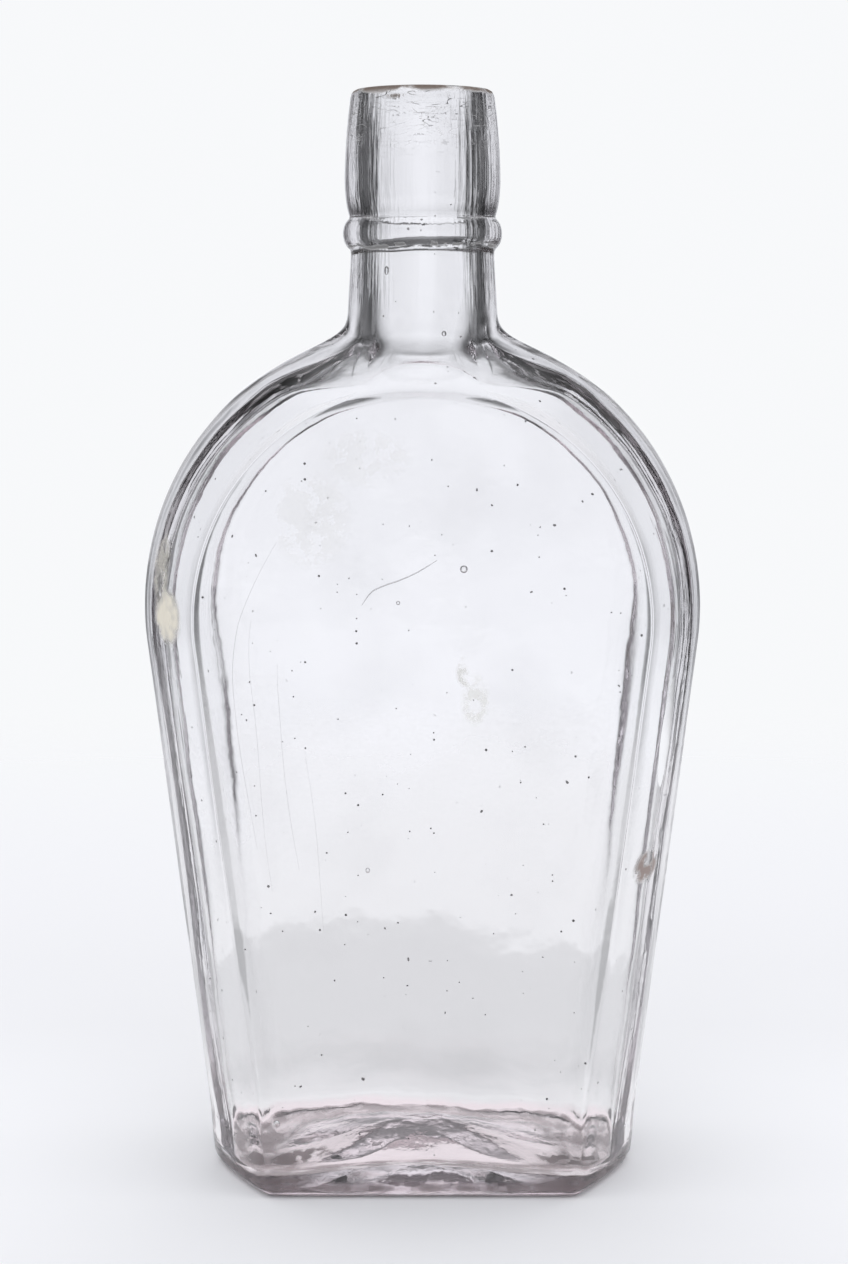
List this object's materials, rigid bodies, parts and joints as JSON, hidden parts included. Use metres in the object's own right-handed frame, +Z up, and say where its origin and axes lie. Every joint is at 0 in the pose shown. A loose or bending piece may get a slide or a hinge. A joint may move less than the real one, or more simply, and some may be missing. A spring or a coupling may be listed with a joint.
{
  "type": "coffin flask",
  "caption": "Flat clear-glass spirit flask: tapering body with bevelled sides and arched shoulder, short neck, applied ringed lip, thick pushed-up base, open mouth.",
  "frame": {"origin": "middle of the base, on the plane that the flask stands on", "axes": "+Z up through the mouth, +X to the right along the width as the front panel is faced, front panel towards -Y"},
  "size_m": [0.1046, 0.045, 0.203],
  "materials": {
    "clear_glass": "clear, slightly wavy, with a faint amethyst cast"
  },
  "bodies": {
    "root": {"flask_body": "clear_glass", "applied_lip": "clear_glass"}
  },
  "joints": []
}
